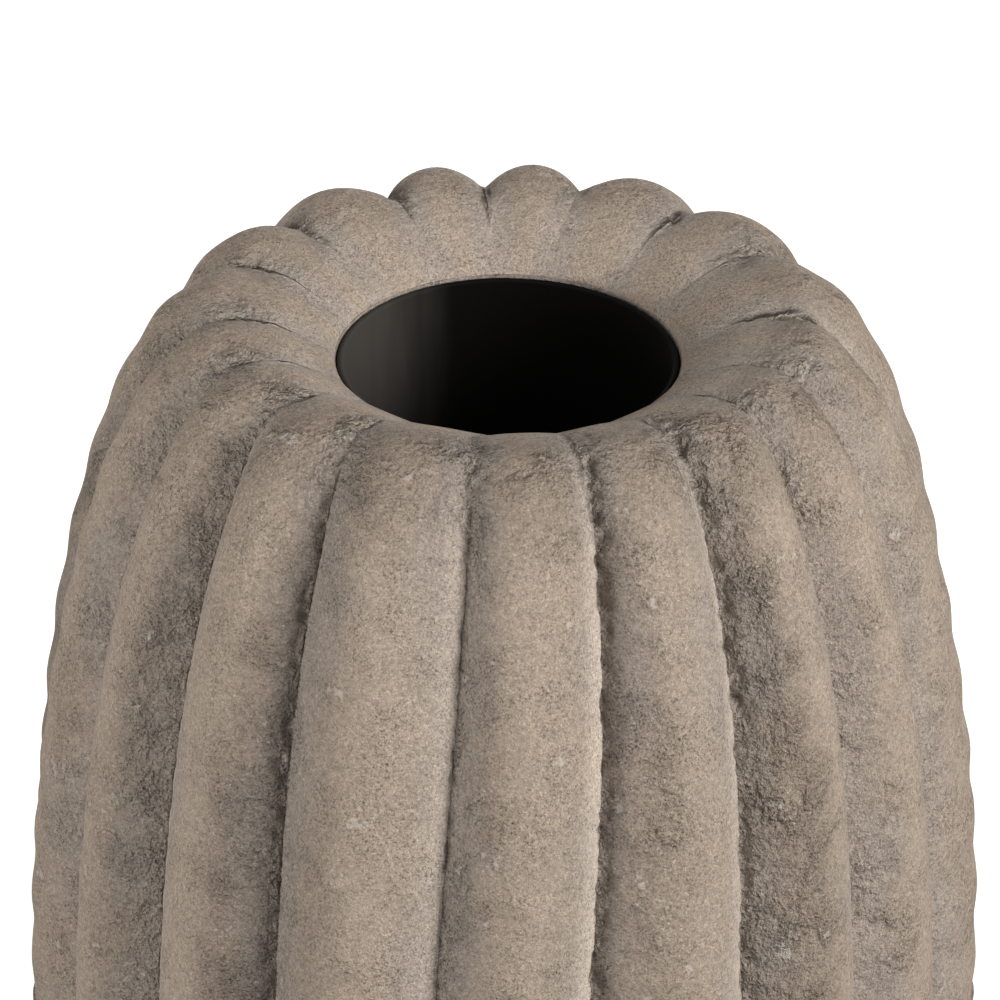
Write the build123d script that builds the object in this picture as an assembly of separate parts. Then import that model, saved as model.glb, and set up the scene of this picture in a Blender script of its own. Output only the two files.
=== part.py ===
from build123d import *
import os
from math import cos, radians, sin

# Clay body, in millimetres, standing on the floor at zero height
height = 400  # floor to the crown of the rolled lip
crown_radius = 85  # ring where the rib crests are highest
crown_run = 41.5  # how far the crown runs level before it turns down
mouth_radius = 51
mouth_sink = 18.5  # edge of the mouth below the crown
mouth_land = 0.6  # level clay between the bore and the lip
lip_rise = 6  # upright start of the lip
lip_run = 10.5  # level end of the lip at the crown
belly_radius = 150  # rib crests at the widest ring
belly_height = 170
belly_rise = 91  # how far the wall stays upright above the widest ring
belly_fall = 95  # and below it
foot_radius = 90
foot_run = 40  # how far the foot rolls outwards before it climbs
foot_rise = 6
wall = 8  # clay behind the bottom of a groove
throat_length = 18  # straight bore under the edge of the mouth
floor_thickness = 16
recess_radius = 58  # hollow under the foot
recess_depth = 3

# Ribs, each with its own width in degrees, as they were pressed by hand
rib_widths = [19.5, 18.5, 17, 18, 23.5, 28, 22.5, 24.5, 19.5, 20, 25, 19.5, 23.5, 19.5, 18, 20.5, 23]
first_groove = -96  # degrees from +X to the groove on the left of the front rib
rib_depth = 11.5
smooth_length = 12  # plain clay at the mouth and the foot before the grooves begin
mouth_fade = 85  # over which a groove reaches its depth from the mouth
foot_fade = 24  # and from the foot
lip_steps = 5
shoulder_steps = 8
flank_steps = 8

# Lap joint between the two shells
lap_height = 10
lap_thickness = 3
mortar_gap = 1

# Watertight insert, a tall cup that stands on the floor of the hollow
insert_wall = 2
insert_draft = 3  # narrower by this much in radius at the bottom
insert_corner = 8
insert_clearance = 0.4
rim_drop = 0.5  # rim of the insert below the edge of the mouth
rim_round = 0.9

# Pads under the foot
pad_count = 4
pad_radius = 11
pad_thickness = 3
pad_round = 1
pad_ring_radius = 74

mouth_height = height - mouth_sink
base_height = pad_thickness
lining = rib_depth + wall  # from a rib's crest to the hollow inside
hollow_radius = belly_radius - lining
floor_top = base_height + floor_thickness
throat_bottom = mouth_height - throat_length


def ease(share):
    share = min(max(share, 0), 1)
    return share * share * (3 - 2 * share)


def turned(point, angle):
    return Vector(point.X * cos(radians(angle)), point.X * sin(radians(angle)), point.Y)


def drum(radius, bottom, top):
    return Pos(Z=bottom) * Cylinder(radius, top - bottom, align=(Align.CENTER, Align.CENTER, Align.MIN))


# Outline of the rib crests from the mouth over the crown and the belly to the foot
lip = Bezier(
    (mouth_radius + mouth_land, mouth_height),
    (mouth_radius + mouth_land, mouth_height + lip_rise),
    (crown_radius - lip_run, height),
    (crown_radius, height),
)
shoulder = Bezier(
    (crown_radius, height),
    (crown_radius + crown_run, height),
    (belly_radius, belly_height + belly_rise),
    (belly_radius, belly_height),
)
flank = Bezier(
    (belly_radius, belly_height),
    (belly_radius, belly_height - belly_fall),
    (foot_radius + foot_run, base_height + foot_rise),
    (foot_radius, base_height),
)


def scalloped_ring(crest, groove):
    # One arc for each rib, from groove to groove over its crest
    arcs = []
    angle = first_groove
    for width in rib_widths:
        turn = width * 360 / sum(rib_widths)
        start = turned(groove, angle)
        middle = turned(crest, angle + turn / 2)
        angle += turn
        arcs.append(ThreePointArc(start, middle, turned(groove, angle)))
    return Wire(arcs)


def fluted(curve, steps, groove_depth):
    # Rings along one curve of the outline; grooves are pressed in square to it
    rings = []
    for step in range(steps + 1):
        share = step / steps
        along = curve % share
        crest = curve @ share
        outwards = Vector(-along.Y, along.X)
        rings.append(scalloped_ring(crest, crest - outwards * groove_depth(curve.length * share)))
    return rings


def lip_groove(from_mouth):
    return rib_depth * ease((from_mouth - smooth_length) / mouth_fade)


def shoulder_groove(from_crown):
    return lip_groove(lip.length + from_crown)


def flank_groove(from_belly):
    return rib_depth * ease((flank.length - from_belly - smooth_length) / foot_fade)


lip_rings = fluted(lip, lip_steps, lip_groove)
shoulder_rings = fluted(shoulder, shoulder_steps, shoulder_groove)
flank_rings = fluted(flank, flank_steps, flank_groove)

# Hollow inside the clay: a straight throat, then a chamber that follows the outside
lap_bottom = belly_height - lap_height
lap_top = belly_height + lap_height
throat = Polyline((0, height), (mouth_radius, height), (mouth_radius, throat_bottom))
chamber_shoulder = Bezier(
    (mouth_radius, throat_bottom),
    (crown_radius + crown_run - lining, throat_bottom),
    (hollow_radius, belly_height + belly_rise),
    (hollow_radius, belly_height),
)
upper_run_out = Polyline(
    (hollow_radius, belly_height),
    (hollow_radius, lap_bottom),
    (0, lap_bottom),
    (0, height),
)
upper_hollow = revolve(Plane.XZ * make_face(throat + chamber_shoulder + upper_run_out), Axis.Z)
chamber_flank = Bezier(
    (hollow_radius, belly_height),
    (hollow_radius, belly_height - belly_fall),
    (foot_radius + foot_run - lining, floor_top),
    (foot_radius - lining, floor_top),
)
lower_run_out = Polyline(
    (foot_radius - lining, floor_top),
    (0, floor_top),
    (0, lap_top + lap_height),
    (hollow_radius, lap_top + lap_height),
    (hollow_radius, belly_height),
)
lower_hollow = revolve(Plane.XZ * make_face(chamber_flank + lower_run_out), Axis.Z)

# The shells meet at the widest ring: a tongue of the lower one stands in a socket of the upper one
lap_radius = hollow_radius + lap_thickness
socket_radius = lap_radius + mortar_gap
socket_top = lap_top + mortar_gap
tongue = drum(lap_radius, lap_bottom, lap_top)
socket = drum(socket_radius, lap_bottom, socket_top)
recess = drum(recess_radius, 0, base_height + recess_depth)
upper_shell = Solid.make_loft(lip_rings + shoulder_rings[1:]) - upper_hollow - socket
lower_shell = Solid.make_loft(flank_rings) + tongue - lower_hollow - recess
joint_mortar = drum(socket_radius, belly_height, socket_top) - tongue - upper_hollow

# Cup that fills the throat and stands on the floor
cup_radius = mouth_radius - insert_clearance
cup_foot_radius = cup_radius - insert_draft
rim_height = mouth_height - rim_drop
outer_corner = (cup_foot_radius, floor_top)
inner_corner = (cup_foot_radius - insert_wall, floor_top + insert_wall)
outer_rim = (cup_radius, rim_height)
inner_rim = (cup_radius - insert_wall, rim_height)
cup_section = make_face(
    Polyline(
        (0, floor_top),
        outer_corner,
        outer_rim,
        inner_rim,
        inner_corner,
        (0, floor_top + insert_wall),
        close=True,
    )
)
for corner, radius in (
    (outer_corner, insert_corner),
    (inner_corner, insert_corner - insert_wall),
    (outer_rim, rim_round),
    (inner_rim, rim_round),
):
    cup_section = fillet(cup_section.vertices().sort_by_distance(corner)[0], radius)
water_insert = revolve(Plane.XZ * cup_section, Axis.Z)

nodes = {
    "upper_shell": upper_shell,
    "lower_shell": lower_shell,
    "joint_mortar": joint_mortar,
    "water_insert": water_insert,
}

# Round pads, softened where they meet the floor
pad = drum(pad_radius, 0, pad_thickness)
pad = fillet(pad.edges().group_by(Axis.Z)[0], pad_round)
for number, place in enumerate(PolarLocations(pad_ring_radius, pad_count, 180 / pad_count), 1):
    nodes[f"foot_pad_{number}"] = place * pad

os.makedirs("parts", exist_ok=True)
for name, solid in nodes.items():
    export_step(solid, f"parts/{name}.step")
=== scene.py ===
from math import atan2, cos, exp, pi, radians, sin

import bmesh
import bpy
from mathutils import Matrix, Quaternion, Vector, noise
from mathutils.geometry import interpolate_bezier


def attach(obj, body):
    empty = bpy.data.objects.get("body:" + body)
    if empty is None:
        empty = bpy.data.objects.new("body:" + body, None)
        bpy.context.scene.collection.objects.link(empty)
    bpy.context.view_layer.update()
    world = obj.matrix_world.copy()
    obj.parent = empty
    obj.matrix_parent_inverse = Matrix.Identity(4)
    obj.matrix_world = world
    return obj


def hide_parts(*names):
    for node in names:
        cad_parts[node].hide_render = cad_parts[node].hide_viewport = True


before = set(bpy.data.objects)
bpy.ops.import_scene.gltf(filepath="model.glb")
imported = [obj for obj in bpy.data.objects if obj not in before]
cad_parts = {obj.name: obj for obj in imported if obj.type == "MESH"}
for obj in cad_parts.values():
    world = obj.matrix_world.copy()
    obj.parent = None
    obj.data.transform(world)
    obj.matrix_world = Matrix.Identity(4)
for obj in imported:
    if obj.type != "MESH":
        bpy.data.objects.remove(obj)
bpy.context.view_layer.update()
scene = bpy.context.scene
scene.view_settings.view_transform = "Standard"
print("frame:", ", ".join(sorted(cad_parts)))

bumpDepth = 0.001  # metres of relief for a height of 1
weld = 1e-6  # metres within which points are one


class Flow:  # an output in a node tree, so that shader maths reads as plain sums
    def __init__(self, tree, socket=None):
        self.tree = tree
        self.socket = socket

    def node(self, kind, settings, values, out=0):
        made = self.tree.nodes.new(kind)
        for name, value in settings.items():
            setattr(made, name, value)
        for key, value in values.items():
            if isinstance(value, Flow):
                self.tree.links.new(value.socket, made.inputs[key])
            else:
                made.inputs[key].default_value = value
        return Flow(self.tree, made.outputs[out])

    def maths(self, operation, *terms):
        return self.node("ShaderNodeMath", {"operation": operation}, dict(enumerate(terms)))

    def __add__(self, other):
        return self.maths("ADD", self, other)

    def __radd__(self, other):
        return self.maths("ADD", other, self)

    def __sub__(self, other):
        return self.maths("SUBTRACT", self, other)

    def __rsub__(self, other):
        return self.maths("SUBTRACT", other, self)

    def __mul__(self, other):
        return self.maths("MULTIPLY", self, other)

    def __rmul__(self, other):
        return self.maths("MULTIPLY", other, self)

    def most(self, other):  # the greater of two values
        return self.maths("MAXIMUM", self, other)

    def rise(self, low, high):  # 0 below low, 1 above high, smooth between them
        return self.node(
            "ShaderNodeMapRange",
            {"interpolation_type": "SMOOTHSTEP"},
            {"Value": self, "From Min": low, "From Max": high},
        )

    def fall(self, low, high):
        return 1 - self.rise(low, high)


def shown(flow, shader, kind="ShaderNodeOutputMaterial"):
    flow.tree.links.new(shader.socket, flow.tree.nodes.new(kind).inputs["Surface"])


def newMaterial(name):
    material = bpy.data.materials.new(name)
    material.use_nodes = True
    tree = material.node_tree
    tree.nodes.clear()
    return material, Flow(tree)


def place(flow):  # a piece's own coordinates, in metres
    return flow.node("ShaderNodeTexCoord", {}, {}, "Object")


def grain(spot, size, detail=2.0, rough=0.5):  # size in metres from lump to lump
    return spot.node(
        "ShaderNodeTexNoise",
        {},
        {"Vector": spot, "Scale": 1 / size, "Detail": detail, "Roughness": rough},
    )


def mixed(share, one, other):
    return share.node("ShaderNodeMix", {"data_type": "RGBA"}, {0: share, 6: one, 7: other}, 2)


def shaded(colour, factor):
    return factor.node(
        "ShaderNodeVectorMath", {"operation": "SCALE"}, {0: colour, "Scale": factor}
    )


def finished(flow, values, height):
    bump = flow.node("ShaderNodeBump", {}, {"Height": height, "Distance": bumpDepth})
    shown(flow, flow.node("ShaderNodeBsdfPrincipled", {}, {**values, "Normal": bump}))


camera = {
    "from": (-0.002061, -1.28742, 1.10198),
    "tilt": 90 - 30.876,  # degrees up from straight down
    "roll": 0.483,
    "lens": 180,
    "sensor": 36,
    "sight": 100,  # metres
}


def setCamera(c):
    data = bpy.data.cameras.new("camera")
    data.lens = c["lens"]
    data.sensor_width = c["sensor"]
    data.clip_end = c["sight"]
    eye = bpy.data.objects.new("camera", data)
    eye.location = c["from"]
    eye.rotation_mode = "ZYX"
    eye.rotation_euler = (radians(c["tilt"]), 0, radians(c["roll"]))
    scene.collection.objects.link(eye)
    scene.camera = eye


setCamera(camera)
print("camera set")

clay = {
    "warm": (0.43, 0.348, 0.276, 1),  # rubbed crests
    "cool": (0.40, 0.34, 0.288, 1),  # rough flanks and grooves
    "pale": (0.70, 0.63, 0.56, 1),
    # near-black of pinholes, also used as painted shade between the crumbs in a groove
    "pitAndCrumbShade": (0.05, 0.041, 0.033, 1),
    "roughness": 0.95,
    "specular": 0.15,
    "driftSize": 0.045,  # metres, as are the other sizes
    "chalkPatchSize": 0.015,
    "patchSize": 0.014,
    "mottleSize": 0.009,
    "blotchSize": 0.007,
    "lumpSize": 0.0031,
    "gritSize": 0.0016,
    "pitSize": 0.0012,
    "chalkSize": 0.0011,
    "hollowSize": 0.0007,
    "sandSize": 0.0006,
    "brightness": 0.69,
    "sandLight": 0.6,
    "hollowDark": 0.65,
    "gritLight": 0.26,
    "mottleLight": 0.36,
    # painted light that lifts the shade in the grooves
    "groovePaintedLight": 0.2,
    "grimeAndShadeDark": 0.8,
    "paleShare": 0.5,
    "pitShare": 0.8,
    "crumbShadeShare": 0.25,
    "sandRelief": 0.6,
    "gritRelief": 0.6,
    "roughGritRelief": 1.8,
    "roughLumpRelief": 5.0,
    "mottleRelief": 0.6,
    "pitRelief": 0.5,
}


def clayMaterial(c):
    material, flow = newMaterial("clay")
    spot = place(flow)
    groove, crest, soilAndPaintedLight = [
        flow.node("ShaderNodeAttribute", {"attribute_name": name}, {}, "Fac")
        for name in ("groove", "crest", "soilAndPaintedLight")
    ]
    drift = grain(spot, c["driftSize"], 3.0)
    mottle = grain(spot, c["mottleSize"], 4.0, 0.6)
    grit = grain(spot, c["gritSize"], 2.0, 0.6)
    sand = grain(spot, c["sandSize"], 2.0, 0.75)
    lump = grain(spot, c["lumpSize"], 3.0, 0.6)
    patch = grain(spot, c["patchSize"])
    # grime is the soil attribute in patches: part darker rough clay and part painted shade,
    # negative as painted highlight on clean edges and as paler clay in the funnel
    grimeAndShade = soilAndPaintedLight * (0.5 + patch)
    rough = groove * 1.1 + grimeAndShade * 1.2 + patch.rise(0.45, 0.68) * 0.3 + 0.08
    rough = rough.rise(0.0, 1.1)
    # painted shade between the clay crumbs along a groove
    crumbs = groove.rise(0.3, 0.8) * lump.fall(0.36, 0.58)
    pits = grain(spot, c["pitSize"], 2.0, 0.6).rise(0.64, 0.71) * (0.4 + 0.6 * rough)
    chalk = grain(spot, c["chalkSize"]).rise(0.6, 0.7)
    chalk = chalk * grain(spot, c["chalkPatchSize"]).rise(0.42, 0.66)
    blotch = (grain(spot, c["blotchSize"]) + (grit - 0.5) * 0.25).rise(0.69, 0.76)
    hollow = grain(spot, c["hollowSize"], 2.0, 0.7).fall(0.3, 0.53)
    hollow = hollow * (0.4 + 0.6 * patch.rise(0.3, 0.7))
    fleck = c["sandLight"] * sand.rise(0.48, 0.75) - c["hollowDark"] * hollow
    fleck = fleck + c["gritLight"] * grit.rise(0.3, 0.7) + c["mottleLight"] * mottle
    # the groove term is painted light lifting the shade in the grooves
    light = c["brightness"] + fleck + groove * c["groovePaintedLight"]
    tone = mixed((crest + (drift - 0.5) * 1.6).rise(0.15, 0.75), c["cool"], c["warm"])
    tone = shaded(tone, light * (1 - c["grimeAndShadeDark"] * grimeAndShade))
    tone = mixed(chalk.most(blotch) * c["paleShare"], tone, c["pale"])
    tone = mixed((pits * c["pitShare"]).most(crumbs * c["crumbShadeShare"]), tone, c["pitAndCrumbShade"])
    height = sand * c["sandRelief"] + grit * (c["gritRelief"] + rough * c["roughGritRelief"])
    height = height + lump * rough * c["roughLumpRelief"]
    height = height + mottle * c["mottleRelief"] - pits * c["pitRelief"]
    finished(
        flow,
        {"Base Color": tone, "Roughness": c["roughness"], "Specular IOR Level": c["specular"]},
        height,
    )
    return material


# One value for each rib, counter-clockwise from the front; soil darkens one side of a rib, part
# rough clay and part painted shade where the lamps miss it, and is negative on a rib whose rough
# side is its first
ribs = {
    "widths": (
        20, 18.6, 18, 16.9, 23, 28, 22.5, 24.5, 19.5, 20, 25, 19.5, 23.5, 19.5, 18.7, 19.1, 23.7,
    ),  # degrees
    "leans": (-2.6, -4, -2.2, -1.5, -0.5, 0, 0, 0, 0, 0, 0, 0, 0, 0, 0.9, 1.1, 0.9),
    "waves": (0, 0, 0, 0.2, 0.9, 0.9, 0.5, 0.3, 0.2, 0.2, 0.3, 0.5, 0.9, 0.8, 0.3, 0, 0),
    "soilAndPaintedLight": (
        -0.18, -0.26, -0.36, -0.12, -0.06, 0.3, -0.3, 0.2, -0.3,
        0.3, -0.2, 0.3, 0.3, 0.12, 0.28, 0.38, -0.16,
    ),
    "soilAndShadeTo": (0.5, 0.6, 0.65) + (0.5,) * 13 + (0.45,),
    "crumbs": (
        0.5, 0.9, 1, 0.2, 0.4, 0.6, 0.5, 0.4, 0.5, 0.6, 0.4, 0.5, 0.5, 0.3, 0.5, 0.9, 0.3,
    ),
    # painted highlight along each rib's clean edge, taken off its darkness
    "edges": (
        0.5, 0.36, 0.25, 0.1, 0.25, 0.3, 0.25, 0.3, 0.2,
        0.25, 0.3, 0.25, 0.3, 0.25, 0.3, 0.35, 0.28,
    ),
    "firstGroove": -96,  # degrees from +X
    "leanFrom": 0.39,  # heights between which the grooves drift
    "leanTo": 0.19,
    "depth": 0.0115,
    "smooth": 0.012,  # plain clay at the mouth and the foot
    "frontFade": 0.078,  # over which a groove reaches its depth from the mouth
    "backFade": 0.052,
    "footFade": 0.024,
    "notch": 0.09,  # share of the depth where a groove crosses the lip
    "notchAt": 0.015,
    "notchWidth": 0.008,
    "creaseFrom": 0.003,  # a thin crease runs on towards the mouth
    "creaseFade": 0.03,
    "columns": 30,  # for each rib
    "bunch": 0.6,  # how far the columns crowd towards the grooves
}
wear = {
    "skim": 0.00005,  # taken off all over
    "swell": 0.0003,
    "swellSize": 0.034,
    "dent": 0.0003,
    "dentSize": 0.009,
    "wave": 0.0005,  # half of the depth of a wave of 1
    "wavePeriod": 0.0255,
    "waveDrift": 2.5,
    "waveDriftSize": 0.08,
    "waveSeed": (5.3, 0.4),
    "crumble": 0.0028,
    "crumbleSize": 0.0035,
    "crumbleShare": 0.1,  # more of the clay crumbles as this grows
    "crumbleReach": 0.0055,
    "cleanReach": 0.0016,
    "fill": 0.0011,  # clay left in the bottom of a groove
    "fillReach": 0.002,
}
# Starts and spans are metres along the outline from the mouth, those of the edge are shares
# of a rib's width
# Painted shade and light laid on the clay: the soil bands, the edge highlights, the crown shade
# and the paler funnel
stainAndPaintedLight = {
    "narrow": 0.75,
    "widen": 0.45,
    "widenFrom": 0.06,
    "widenSpan": 0.12,
    "sideFrom": 0.045,
    "sideSpan": 0.05,
    "edgeFrom": 0.79,
    "edgeSpan": 0.14,
    "crown": 0.24,  # painted shade over the crown at the front, where it faces up
    "crownFrom": 0.02,
    "crownSpan": 0.02,
    "crownEnd": 0.055,
    "crownEndSpan": 0.03,
    "funnel": 0.28,  # paler in the funnel
    "funnelEnd": 0.014,
    "funnelEndSpan": 0.03,
}


def eased(share):
    share = min(max(share, 0), 1)
    return share * share * (3 - 2 * share)


def ramp(value, start, span):
    return eased((value - start) / span)


def grooveAngles(height):
    lean = eased((ribs["leanFrom"] - height) / (ribs["leanFrom"] - ribs["leanTo"]))
    turn = ribs["firstGroove"]
    angles = []
    for width, drift in zip(ribs["widths"], ribs["leans"]):
        angles.append(radians(turn + drift * lean))
        turn += width
    return angles + [angles[0] + 2 * pi]


def turned(point, angle):
    return Vector((point[0] * cos(angle), point[0] * sin(angle), point[1]))


def grooveSpot(row, angle):  # pressed in square to the outline
    deep = ribs["depth"] * row["depth"](angle)
    crest, out = row["crest"], row["out"]
    return turned((crest[0] - out[0] * deep, crest[1] - out[1] * deep), angle)


def ribArc(row, start, end):  # circle through two grooves and the crest between them
    left, right = grooveSpot(row, start), grooveSpot(row, end)
    top = turned(row["crest"], (start + end) / 2)
    one, other = left - top, right - top
    axis = other.cross(one)
    spread = one.length_squared * other - other.length_squared * one
    middle = top + spread.cross(one.cross(other)) / (2 * axis.length_squared)
    return {
        "middle": middle,
        "from": left - middle,
        "axis": axis.normalized(),
        "radius": (left - middle).length,
        "turn": (left - middle).angle(top - middle) + (top - middle).angle(right - middle),
    }


def fromRough(rib, bend):  # each rib has one rough side and one clean edge
    return 1 - bend if ribs["soilAndPaintedLight"][rib] > 0 else bend


def broken(row, rib, bend, width):  # crumbling clay along a groove
    fromSide = fromRough(rib, bend)
    rough = ribs["crumbs"][rib] * exp(-((fromSide * width / wear["crumbleReach"]) ** 2))
    return max(rough, exp(-(1 - fromSide) * width / wear["cleanReach"])) * row["crease"]


def soilAndPaintedLightAt(row, rib, bend, angle):  # darker band along one side of a rib, part rough clay and part painted shade; also a painted highlight on the clean edge, painted shade over the front of the crown and paler clay in the funnel
    s, gone = stainAndPaintedLight, row["gone"]
    fromSide = fromRough(rib, bend)
    widening = s["narrow"] + s["widen"] * ramp(gone, s["widenFrom"], s["widenSpan"])
    reach = ribs["soilAndShadeTo"][rib] * widening
    dark = abs(ribs["soilAndPaintedLight"][rib]) * (1 - eased(fromSide / reach * 2 - 1))
    dark *= ramp(gone, s["sideFrom"], s["sideSpan"])
    # painted highlight on the clean edge next to the groove
    dark -= ribs["edges"][rib] * ramp(fromSide, s["edgeFrom"], s["edgeSpan"]) * row["depth"](angle)
    front = 0.5 - 0.5 * sin(angle)
    # painted shade over the front of the crown
    crown = ramp(gone, s["crownFrom"], s["crownSpan"])
    crown *= 1 - ramp(gone, s["crownEnd"], s["crownEndSpan"])
    funnel = 1 - ramp(gone, s["funnelEnd"], s["funnelEndSpan"])
    return dark + s["crown"] * crown * front - s["funnel"] * funnel


def weathered(point, outwards, near, crumbling, row, rib, angle):  # inwards, so the size stays
    w, gone = wear, row["gone"]
    worn = w["skim"] + w["swell"] * (0.5 + 0.5 * noise.noise(point / w["swellSize"]))
    worn += w["dent"] * (0.5 + 0.5 * noise.noise(point / w["dentSize"]))
    seed = (rib * w["waveSeed"][0], w["waveSeed"][1], gone / w["waveDriftSize"])
    phase = 2 * pi * gone / w["wavePeriod"] + w["waveDrift"] * noise.noise(seed)
    worn += ribs["waves"][rib] * w["wave"] * (1 + sin(phase)) * row["crease"]
    crumb = noise.noise(point / w["crumbleSize"]) + w["crumbleShare"]
    worn += w["crumble"] * crumbling * max(crumb, 0)
    worn -= w["fill"] * exp(-near / w["fillReach"]) * row["depth"](angle)
    return point - outwards * worn


def outlineOf(handles, count):
    one, oneHandle, otherHandle, other = [Vector((x, 0, z)) for x, z in handles]
    return interpolate_bezier(one, oneHandle, otherHandle, other, count)


def travelled(points):
    gone = [0]
    for one, other in zip(points, points[1:]):
        gone.append(gone[-1] + (other - one).length)
    return gone


def outlineRows(points, depths, creases, before=0):  # each depth is a function of the angle
    rows = []
    gone = travelled(points)
    for i, point in enumerate(points):
        along = (points[min(i + 1, len(points) - 1)] - points[max(i - 1, 0)]).normalized()
        rows.append({
            "crest": (point.x, point.z),
            "out": (-along.z, along.x),
            "depth": depths[i],
            "crease": creases[i],
            "gone": gone[i] + before,
            "outer": True,
        })
    return rows


def plainRows(points):
    return [{"crest": p, "outer": False} for p in points]


def spunClay(name, rows, sharp):
    bm = bmesh.new()
    rowLayer = bm.verts.layers.int.new("row")
    grooveLayer = bm.verts.layers.float.new("groove")
    crestLayer = bm.verts.layers.float.new("crest")
    soilAndPaintedLightLayer = bm.verts.layers.float.new("soilAndPaintedLight")
    profile = []
    for i, row in enumerate(rows):
        vert = bm.verts.new((row["crest"][0], 0, row["crest"][1]))
        vert[rowLayer] = i
        profile.append(vert)
    edges = [bm.edges.new(pair) for pair in zip(profile, profile[1:] + profile[:1])]
    count = len(ribs["widths"]) * ribs["columns"]
    bmesh.ops.spin(
        bm,
        geom=profile + edges,
        cent=(0, 0, 0),
        axis=(0, 0, 1),
        angle=2 * pi,
        steps=count,
        use_merge=True,
    )
    for row in rows:
        angles = grooveAngles(row["crest"][1])
        row["spans"] = list(zip(angles, angles[1:]))
        row["arcs"] = [ribArc(row, *span) for span in row["spans"]] if row["outer"] else None
    for vert in bm.verts:
        row = rows[vert[rowLayer]]
        column = round(atan2(vert.co.y, vert.co.x) / (2 * pi) * count) % count
        rib, step = divmod(column, ribs["columns"])
        share = step / ribs["columns"]
        bend = share - ribs["bunch"] * sin(2 * pi * share) / (2 * pi)
        start, end = row["spans"][rib]
        if row["outer"]:
            arc = row["arcs"][rib]
            spoke = Quaternion(arc["axis"], bend * arc["turn"]) @ arc["from"]
            width = arc["radius"] * arc["turn"]
            near = width * min(bend, 1 - bend)
            crumbling = broken(row, rib, bend, width)
            vert[grooveLayer] = crumbling
            vert[crestLayer] = 2 * min(bend, 1 - bend)
            vert[soilAndPaintedLightLayer] = soilAndPaintedLightAt(row, rib, bend, start)
            point, outwards = arc["middle"] + spoke, spoke / arc["radius"]
            vert.co = weathered(point, outwards, near, crumbling, row, rib, start)
        elif row["crest"][0] > weld:
            vert.co = turned(row["crest"], start + (end - start) * bend)
    bmesh.ops.remove_doubles(bm, verts=bm.verts, dist=weld)
    bmesh.ops.recalc_face_normals(bm, faces=bm.faces)
    for face in bm.faces:
        face.smooth = True
    for edge in bm.edges:
        same = edge.verts[0][rowLayer] == edge.verts[1][rowLayer]
        edge.smooth = not (same and edge.verts[0][rowLayer] in sharp)
    mesh = bpy.data.meshes.new(name)
    bm.to_mesh(mesh)
    bm.free()
    piece = bpy.data.objects.new(name, mesh)
    scene.collection.objects.link(piece)
    print(name, len(mesh.polygons), "faces")
    return piece


upper = {
    "mouth": 0.051,
    "mouthHeight": 0.3815,
    "lip": ((0.0516, 0.3815), (0.0516, 0.3875), (0.0745, 0.4), (0.085, 0.4)),
    "shoulder": ((0.085, 0.4), (0.1265, 0.4), (0.15, 0.261), (0.15, 0.17)),
    "chamber": ((0.1305, 0.17), (0.1305, 0.261), (0.107, 0.3635), (0.051, 0.3635)),
    "chamberFrom": 0.1815,  # height above the socket
    "socket": ((0.1345, 0.17), (0.1345, 0.181), (0.1305, 0.181)),
    "lipRows": 34,
    "shoulderRows": 130,
    "chamberRows": 16,
}


def fromMouth(gone):  # grooves at the back start sooner
    def depth(angle):
        back = 0.5 + 0.5 * sin(angle)
        fade = ribs["frontFade"] + (ribs["backFade"] - ribs["frontFade"]) * back
        notch = ribs["notch"] * exp(-(((gone - ribs["notchAt"]) / ribs["notchWidth"]) ** 2))
        return ramp(gone, ribs["smooth"], fade) + notch

    return depth


def makeUpper(u):
    points = outlineOf(u["lip"], u["lipRows"]) + outlineOf(u["shoulder"], u["shoulderRows"])[1:]
    gone = travelled(points)
    depths = [fromMouth(g) for g in gone]
    creases = [ramp(g, ribs["creaseFrom"], ribs["creaseFade"]) for g in gone]
    rows = outlineRows(points, depths, creases)
    seam = len(rows) - 1
    chamber = outlineOf(u["chamber"], u["chamberRows"])
    inside = list(u["socket"])
    inside += [(p.x, p.z) for p in chamber if p.z > u["chamberFrom"]]
    inside += [(u["mouth"], u["mouthHeight"])]
    rows += plainRows(inside)
    sharp = {0, seam, seam + 1, seam + 2, len(rows) - 1}
    return spunClay("fluted_upper", rows, sharp)


lower = {
    "flank": ((0.15, 0.17), (0.15, 0.075), (0.13, 0.009), (0.09, 0.003)),
    "base": ((0.058, 0.003), (0.058, 0.006), (0.03, 0.006), (0, 0.006)),
    "floor": ((0, 0.019), (0.035, 0.019)),
    "chamber": ((0.0705, 0.019), (0.1105, 0.019), (0.1305, 0.075), (0.1305, 0.17)),
    "tongue": ((0.1305, 0.18), (0.1335, 0.18), (0.1335, 0.17)),
    "fromMouth": 0.3,  # along the outline to the start of the flank
    "flankRows": 110,
    "chamberRows": 16,
}


def steady(share):  # the same depth all round
    return lambda angle: share


def makeLower(w):
    points = outlineOf(w["flank"], w["flankRows"])
    gone = travelled(points)
    creases = [eased((gone[-1] - g - ribs["smooth"]) / ribs["footFade"]) for g in gone]
    rows = outlineRows(points, [steady(c) for c in creases], creases, w["fromMouth"])
    foot = len(rows) - 1
    rows += plainRows(w["base"])
    rows += plainRows(w["floor"])
    rows += plainRows([(p.x, p.z) for p in outlineOf(w["chamber"], w["chamberRows"])])
    rows += plainRows(w["tongue"])
    last = len(rows) - 1
    sharp = {0, foot, foot + 1, foot + 2, last, last - 1, last - 2}
    return spunClay("fluted_lower", rows, sharp)


clayStuff = clayMaterial(clay)
upperClay = makeUpper(upper)
lowerClay = makeLower(lower)
for piece, node in ((upperClay, "upper_shell"), (lowerClay, "lower_shell")):
    piece.data.materials.append(clayStuff)
    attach(piece, "vase")
    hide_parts(node)
print("clay made")

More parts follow.
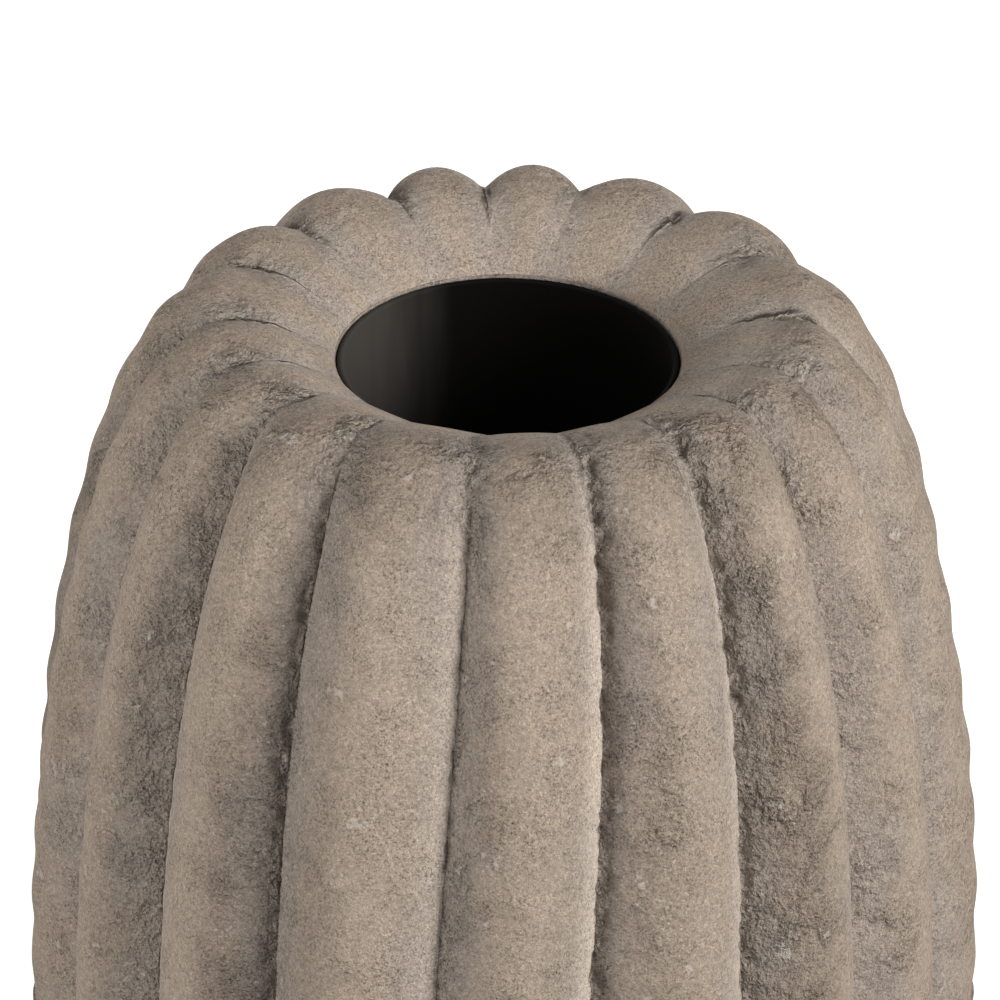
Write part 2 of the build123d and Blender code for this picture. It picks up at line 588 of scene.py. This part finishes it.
insert = {
    "colour": (0.003, 0.0027, 0.0023, 1),
    "paintedLightColour": (0.06, 0.054, 0.048, 1),  # painted light: a pale clay-coloured strip down the left inside wall, where the lamps reach in
    "paintedLightFull": -0.046,  # places along X between which the painted light thins out
    "paintedLightEnd": -0.014,
    "streakSize": 0.006,
    "streakStretch": (1, 1, 0.12),
    "streakSway": 0.012,
    "roughness": 0.75,
    "roughnessSway": 0.15,
    "cloudSize": 0.03,
    "specular": 0.06,
    "grainSize": 0.0012,
    "relief": 0.05,
}


def insertMaterial(c):
    material, flow = newMaterial("insertPlastic")
    spot = place(flow)
    fine = grain(spot, c["grainSize"])
    cloud = grain(spot, c["cloudSize"], 3.0)
    stretch = {0: spot, 1: c["streakStretch"]}
    drawn = spot.node("ShaderNodeVectorMath", {"operation": "MULTIPLY"}, stretch)
    across = spot.node("ShaderNodeSeparateXYZ", {}, {0: spot}, "X")
    streaks = (grain(drawn, c["streakSize"], 3.0) - 0.5) * c["streakSway"]
    # painted light down the left inside wall, its edge broken by vertical streaks
    paintedLitStrip = (across + streaks).fall(c["paintedLightFull"], c["paintedLightEnd"])
    finished(
        flow,
        {
            "Base Color": mixed(paintedLitStrip, c["colour"], c["paintedLightColour"]),
            "Roughness": c["roughness"] + c["roughnessSway"] * (cloud - 0.5),
            "Specular IOR Level": c["specular"],
        },
        fine * c["relief"],
    )
    return material


felt = {
    "colour": (0.055, 0.05, 0.045, 1),
    "fleck": (0.16, 0.15, 0.135, 1),
    "fibreSize": 0.0009,
    "sheen": 0.4,
    "relief": 0.6,
}


def feltMaterial(c):
    material, flow = newMaterial("padFelt")
    fibre = grain(place(flow), c["fibreSize"], 4.0, 0.7)
    tone = mixed(fibre.rise(0.4, 0.7), c["colour"], c["fleck"])
    values = {"Base Color": tone, "Roughness": 1.0, "Sheen Weight": c["sheen"]}
    finished(flow, values, fibre * c["relief"])
    return material


mortar = {
    "colour": (0.48, 0.44, 0.39, 1),
    "dark": (0.3, 0.27, 0.24, 1),
    "roughness": 0.95,
    "sandSize": 0.0011,
    "relief": 0.4,
}


def mortarMaterial(c):
    material, flow = newMaterial("jointMortar")
    sand = grain(place(flow), c["sandSize"], 3.0, 0.7)
    tone = mixed(sand.rise(0.3, 0.7), c["dark"], c["colour"])
    finished(flow, {"Base Color": tone, "Roughness": c["roughness"]}, sand * c["relief"])
    return material


def dress(node, material):
    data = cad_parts[node].data
    data.materials.clear()
    data.materials.append(material)


dress("water_insert", insertMaterial(insert))
dress("joint_mortar", mortarMaterial(mortar))
feltStuff = feltMaterial(felt)
for number in range(1, 5):
    dress(f"foot_pad_{number}", feltStuff)
print("insert, mortar and pads dressed")

studio = {
    "floorSize": 12,
    "floorColour": (0.3, 0.3, 0.3, 1),
    "floorShare": 1.6,  # of the light on the floor that the camera sees
    "floorGlow": 0.86,  # plain white that the camera sees under the shadow
    "skyColour": (0.95, 0.97, 1.0, 1),
    "skyLight": 0.03,
    "backdrop": (1, 1, 1, 1),  # what the camera sees of the sky
}


def seen(flow):  # camera, mirror and glass rays
    kinds = ("Is Camera Ray", "Is Glossy Ray", "Is Transmission Ray")
    eye, mirror, glass = [flow.node("ShaderNodeLightPath", {}, {}, kind) for kind in kinds]
    return eye.most(mirror).most(glass)


def makeFloor(s):
    bm = bmesh.new()
    bmesh.ops.create_grid(bm, x_segments=1, y_segments=1, size=s["floorSize"] / 2)
    mesh = bpy.data.meshes.new("floor")
    bm.to_mesh(mesh)
    bm.free()
    floor = bpy.data.objects.new("floor", mesh)
    scene.collection.objects.link(floor)
    material, flow = newMaterial("floor")
    plain = flow.node("ShaderNodeBsdfDiffuse", {}, {"Color": s["floorColour"]})
    grey = tuple(s["floorShare"] * v for v in s["floorColour"][:3]) + (1,)
    dim = flow.node("ShaderNodeBsdfDiffuse", {}, {"Color": grey})
    glow = flow.node("ShaderNodeEmission", {}, {"Strength": s["floorGlow"]})
    bright = flow.node("ShaderNodeAddShader", {}, {0: dim, 1: glow})
    surface = flow.node("ShaderNodeMixShader", {}, {0: seen(flow), 1: plain, 2: bright})
    shown(flow, surface)
    mesh.materials.append(material)


def makeWorld(s):
    world = bpy.data.worlds.new("studio")
    world.use_nodes = True
    scene.world = world
    tree = world.node_tree
    tree.nodes.clear()
    flow = Flow(tree)
    light = {"Color": s["skyColour"], "Strength": s["skyLight"]}
    sky = flow.node("ShaderNodeBackground", {}, light)
    white = flow.node("ShaderNodeBackground", {}, {"Color": s["backdrop"], "Strength": 1.0})
    surface = flow.node("ShaderNodeMixShader", {}, {0: seen(flow), 1: sky, 2: white})
    shown(flow, surface, "ShaderNodeOutputWorld")


lamps = (  # degrees round from the front to the right, degrees up, metres across
    {"name": "rightKey", "round": 54, "up": 25, "size": 0.9, "watts": 38},
    {"name": "leftFill", "round": -61, "up": 9, "size": 0.7, "watts": 21},
    {"name": "frontFill", "round": 0, "up": 30, "size": 0.8, "watts": 5},
    {"name": "leftTop", "round": -80, "up": 52, "size": 0.8, "watts": 3},
    {"name": "backFill", "round": 180, "up": 5, "size": 0.7, "watts": 27},
)
lampColour = (1, 0.99, 0.98)
lampAim = Vector((0, 0, 0.28))
lampReach = 2.0


def makeLamp(p):
    data = bpy.data.lights.new(p["name"], "AREA")
    data.shape = "DISK"
    data.size = p["size"]
    data.energy = p["watts"]
    data.color = lampColour
    lamp = bpy.data.objects.new(p["name"], data)
    turn, up = radians(p["round"]), radians(p["up"])
    away = Vector((sin(turn) * cos(up), -cos(turn) * cos(up), sin(up)))
    lamp.location = lampAim + away * lampReach
    lamp.rotation_euler = away.to_track_quat("Z", "Y").to_euler()
    scene.collection.objects.link(lamp)


makeFloor(studio)
makeWorld(studio)
for lamp in lamps:
    makeLamp(lamp)
print("studio lit")
